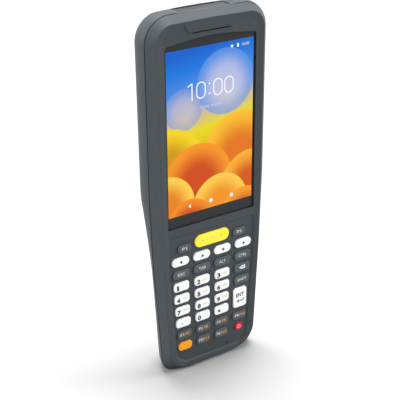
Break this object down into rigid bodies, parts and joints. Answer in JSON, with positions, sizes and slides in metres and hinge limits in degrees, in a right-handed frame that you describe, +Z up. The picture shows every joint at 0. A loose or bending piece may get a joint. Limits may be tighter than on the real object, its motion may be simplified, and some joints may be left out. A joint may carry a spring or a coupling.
{
  "type": "portable barcode data terminal",
  "caption": "Upright handheld data terminal with a touch display above a pressable keypad, a scan window in the top end and a removable battery pack held by a sliding latch.",
  "frame": {"origin": "centre of the bounding box in plan, on the plane of the flat foot that the terminal stands on", "axes": "+Z up along the terminal's length towards the scan window, +Y into the terminal away from the display, +X to the right as seen by someone who faces the display"},
  "size_m": [0.074, 0.0288, 0.1974],
  "materials": {
    "housing": "fine matte moulded plastic",
    "key_white": "satin",
    "key_grey": "satin",
    "key_yellow": "satin",
    "key_orange": "satin",
    "key_red": "satin",
    "display_glass": "gloss",
    "window_glass": "gloss",
    "clear_lens": "gloss",
    "panel": "gloss",
    "foam": "matte",
    "silicone": "matte",
    "board": "solder mask",
    "module_black": "satin",
    "contact_metal": "plated",
    "mesh_metal": "woven",
    "screw_steel": "black zinc"
  },
  "bodies": {
    "housing": {"battery_contacts": "contact_metal", "camera_module": "module_black", "camera_window": "window_glass", "display_lens": "display_glass", "flash_lens": "clear_lens", "front_housing": "housing", "housing_screws": "screw_steel", "housing_seal": "silicone", "io_connector": "contact_metal", "keypad_board": "board", "keypad_mat": "silicone", "lcd_module": "panel", "lens_gasket": "foam", "light_sensor": "window_glass", "main_board": "board", "microphone": "contact_metal", "rear_housing": "housing", "receiver": "module_black", "receiver_mesh": "mesh_metal", "scan_engine": "module_black", "scan_window": "window_glass", "speaker": "module_black", "vibration_motor": "contact_metal"},
    "key_0": {"key_0": "key_white"},
    "key_1": {"key_1": "key_white"},
    "key_2": {"key_2": "key_white"},
    "key_3": {"key_3": "key_white"},
    "key_4": {"key_4": "key_white"},
    "key_5": {"key_5": "key_white"},
    "key_6": {"key_6": "key_white"},
    "key_7": {"key_7": "key_white"},
    "key_8": {"key_8": "key_white"},
    "key_9": {"key_9": "key_white"},
    "key_alt": {"key_alt": "key_grey"},
    "key_backspace": {"key_backspace": "key_grey"},
    "key_ctrl": {"key_ctrl": "key_grey"},
    "key_down": {"key_down": "key_white"},
    "key_enter": {"key_enter": "key_white"},
    "key_esc": {"key_esc": "key_grey"},
    "key_f1": {"key_f1": "key_grey"},
    "key_f2": {"key_f2": "key_grey"},
    "key_f3": {"key_f3": "key_grey"},
    "key_f4": {"key_f4": "key_grey"},
    "key_f5": {"key_f5": "key_grey"},
    "key_f6": {"key_f6": "key_grey"},
    "key_left": {"key_left": "key_white"},
    "key_orange": {"key_orange": "key_orange"},
    "key_p1": {"key_p1": "key_grey"},
    "key_p2": {"key_p2": "key_grey"},
    "key_period": {"key_period": "key_white"},
    "key_power": {"key_power": "key_red"},
    "key_right": {"key_right": "key_white"},
    "key_scan": {"key_scan": "key_yellow"},
    "key_shift": {"key_shift": "key_grey"},
    "key_star": {"key_star": "key_white"},
    "key_tab": {"key_tab": "key_grey"},
    "key_up": {"key_up": "key_white"},
    "battery": {"battery_pack": "housing"},
    "latch": {"battery_latch": "housing"}
  },
  "joints": [
    {"name": "key_0_press", "type": "slide", "parent": "housing", "child": "key_0", "axis": [0, 1, 0], "range_m": [0, 0.0006], "stiffness_N_per_m": 500},
    {"name": "key_1_press", "type": "slide", "parent": "housing", "child": "key_1", "axis": [0, 1, 0], "range_m": [0, 0.0006], "stiffness_N_per_m": 500},
    {"name": "key_2_press", "type": "slide", "parent": "housing", "child": "key_2", "axis": [0, 1, 0], "range_m": [0, 0.0006], "stiffness_N_per_m": 500},
    {"name": "key_3_press", "type": "slide", "parent": "housing", "child": "key_3", "axis": [0, 1, 0], "range_m": [0, 0.0006], "stiffness_N_per_m": 500},
    {"name": "key_4_press", "type": "slide", "parent": "housing", "child": "key_4", "axis": [0, 1, 0], "range_m": [0, 0.0006], "stiffness_N_per_m": 500},
    {"name": "key_5_press", "type": "slide", "parent": "housing", "child": "key_5", "axis": [0, 1, 0], "range_m": [0, 0.0006], "stiffness_N_per_m": 500},
    {"name": "key_6_press", "type": "slide", "parent": "housing", "child": "key_6", "axis": [0, 1, 0], "range_m": [0, 0.0006], "stiffness_N_per_m": 500},
    {"name": "key_7_press", "type": "slide", "parent": "housing", "child": "key_7", "axis": [0, 1, 0], "range_m": [0, 0.0006], "stiffness_N_per_m": 500},
    {"name": "key_8_press", "type": "slide", "parent": "housing", "child": "key_8", "axis": [0, 1, 0], "range_m": [0, 0.0006], "stiffness_N_per_m": 500},
    {"name": "key_9_press", "type": "slide", "parent": "housing", "child": "key_9", "axis": [0, 1, 0], "range_m": [0, 0.0006], "stiffness_N_per_m": 500},
    {"name": "key_alt_press", "type": "slide", "parent": "housing", "child": "key_alt", "axis": [0, 1, 0], "range_m": [0, 0.0006], "stiffness_N_per_m": 500},
    {"name": "key_backspace_press", "type": "slide", "parent": "housing", "child": "key_backspace", "axis": [0, 1, 0], "range_m": [0, 0.0006], "stiffness_N_per_m": 500},
    {"name": "key_ctrl_press", "type": "slide", "parent": "housing", "child": "key_ctrl", "axis": [0, 1, 0], "range_m": [0, 0.0006], "stiffness_N_per_m": 500},
    {"name": "key_down_press", "type": "slide", "parent": "housing", "child": "key_down", "axis": [0, 1, 0], "range_m": [0, 0.0006], "stiffness_N_per_m": 500},
    {"name": "key_enter_press", "type": "slide", "parent": "housing", "child": "key_enter", "axis": [0, 1, 0], "range_m": [0, 0.0006], "stiffness_N_per_m": 500},
    {"name": "key_esc_press", "type": "slide", "parent": "housing", "child": "key_esc", "axis": [0, 1, 0], "range_m": [0, 0.0006], "stiffness_N_per_m": 500},
    {"name": "key_f1_press", "type": "slide", "parent": "housing", "child": "key_f1", "axis": [0, 1, 0], "range_m": [0, 0.0006], "stiffness_N_per_m": 500},
    {"name": "key_f2_press", "type": "slide", "parent": "housing", "child": "key_f2", "axis": [0, 1, 0], "range_m": [0, 0.0006], "stiffness_N_per_m": 500},
    {"name": "key_f3_press", "type": "slide", "parent": "housing", "child": "key_f3", "axis": [0, 1, 0], "range_m": [0, 0.0006], "stiffness_N_per_m": 500},
    {"name": "key_f4_press", "type": "slide", "parent": "housing", "child": "key_f4", "axis": [0, 1, 0], "range_m": [0, 0.0006], "stiffness_N_per_m": 500},
    {"name": "key_f5_press", "type": "slide", "parent": "housing", "child": "key_f5", "axis": [0, 1, 0], "range_m": [0, 0.0006], "stiffness_N_per_m": 500},
    {"name": "key_f6_press", "type": "slide", "parent": "housing", "child": "key_f6", "axis": [0, 1, 0], "range_m": [0, 0.0006], "stiffness_N_per_m": 500},
    {"name": "key_left_press", "type": "slide", "parent": "housing", "child": "key_left", "axis": [0, 1, 0], "range_m": [0, 0.0006], "stiffness_N_per_m": 500},
    {"name": "key_orange_press", "type": "slide", "parent": "housing", "child": "key_orange", "axis": [0, 1, 0], "range_m": [0, 0.0006], "stiffness_N_per_m": 500},
    {"name": "key_p1_press", "type": "slide", "parent": "housing", "child": "key_p1", "axis": [0, 1, 0], "range_m": [0, 0.0006], "stiffness_N_per_m": 500},
    {"name": "key_p2_press", "type": "slide", "parent": "housing", "child": "key_p2", "axis": [0, 1, 0], "range_m": [0, 0.0006], "stiffness_N_per_m": 500},
    {"name": "key_period_press", "type": "slide", "parent": "housing", "child": "key_period", "axis": [0, 1, 0], "range_m": [0, 0.0006], "stiffness_N_per_m": 500},
    {"name": "key_power_press", "type": "slide", "parent": "housing", "child": "key_power", "axis": [0, 1, 0], "range_m": [0, 0.0006], "stiffness_N_per_m": 500},
    {"name": "key_right_press", "type": "slide", "parent": "housing", "child": "key_right", "axis": [0, 1, 0], "range_m": [0, 0.0006], "stiffness_N_per_m": 500},
    {"name": "key_scan_press", "type": "slide", "parent": "housing", "child": "key_scan", "axis": [0, 1, 0], "range_m": [0, 0.0006], "stiffness_N_per_m": 500},
    {"name": "key_shift_press", "type": "slide", "parent": "housing", "child": "key_shift", "axis": [0, 1, 0], "range_m": [0, 0.0006], "stiffness_N_per_m": 500},
    {"name": "key_star_press", "type": "slide", "parent": "housing", "child": "key_star", "axis": [0, 1, 0], "range_m": [0, 0.0006], "stiffness_N_per_m": 500},
    {"name": "key_tab_press", "type": "slide", "parent": "housing", "child": "key_tab", "axis": [0, 1, 0], "range_m": [0, 0.0006], "stiffness_N_per_m": 500},
    {"name": "key_up_press", "type": "slide", "parent": "housing", "child": "key_up", "axis": [0, 1, 0], "range_m": [0, 0.0006], "stiffness_N_per_m": 500},
    {"name": "pack_tip", "type": "hinge", "parent": "housing", "child": "battery", "pos_m": [0, 0.00705, 0.016], "axis": [-1, 0, 0], "range_deg": [0, 5]},
    {"name": "latch_slide", "type": "slide", "parent": "housing", "child": "latch", "axis": [0, 0, 1], "range_m": [0, 0.004]}
  ],
  "couplings": [
    {"joint": "latch_slide", "follows": "pack_tip", "m_per_rad": 0.0458}
  ]
}
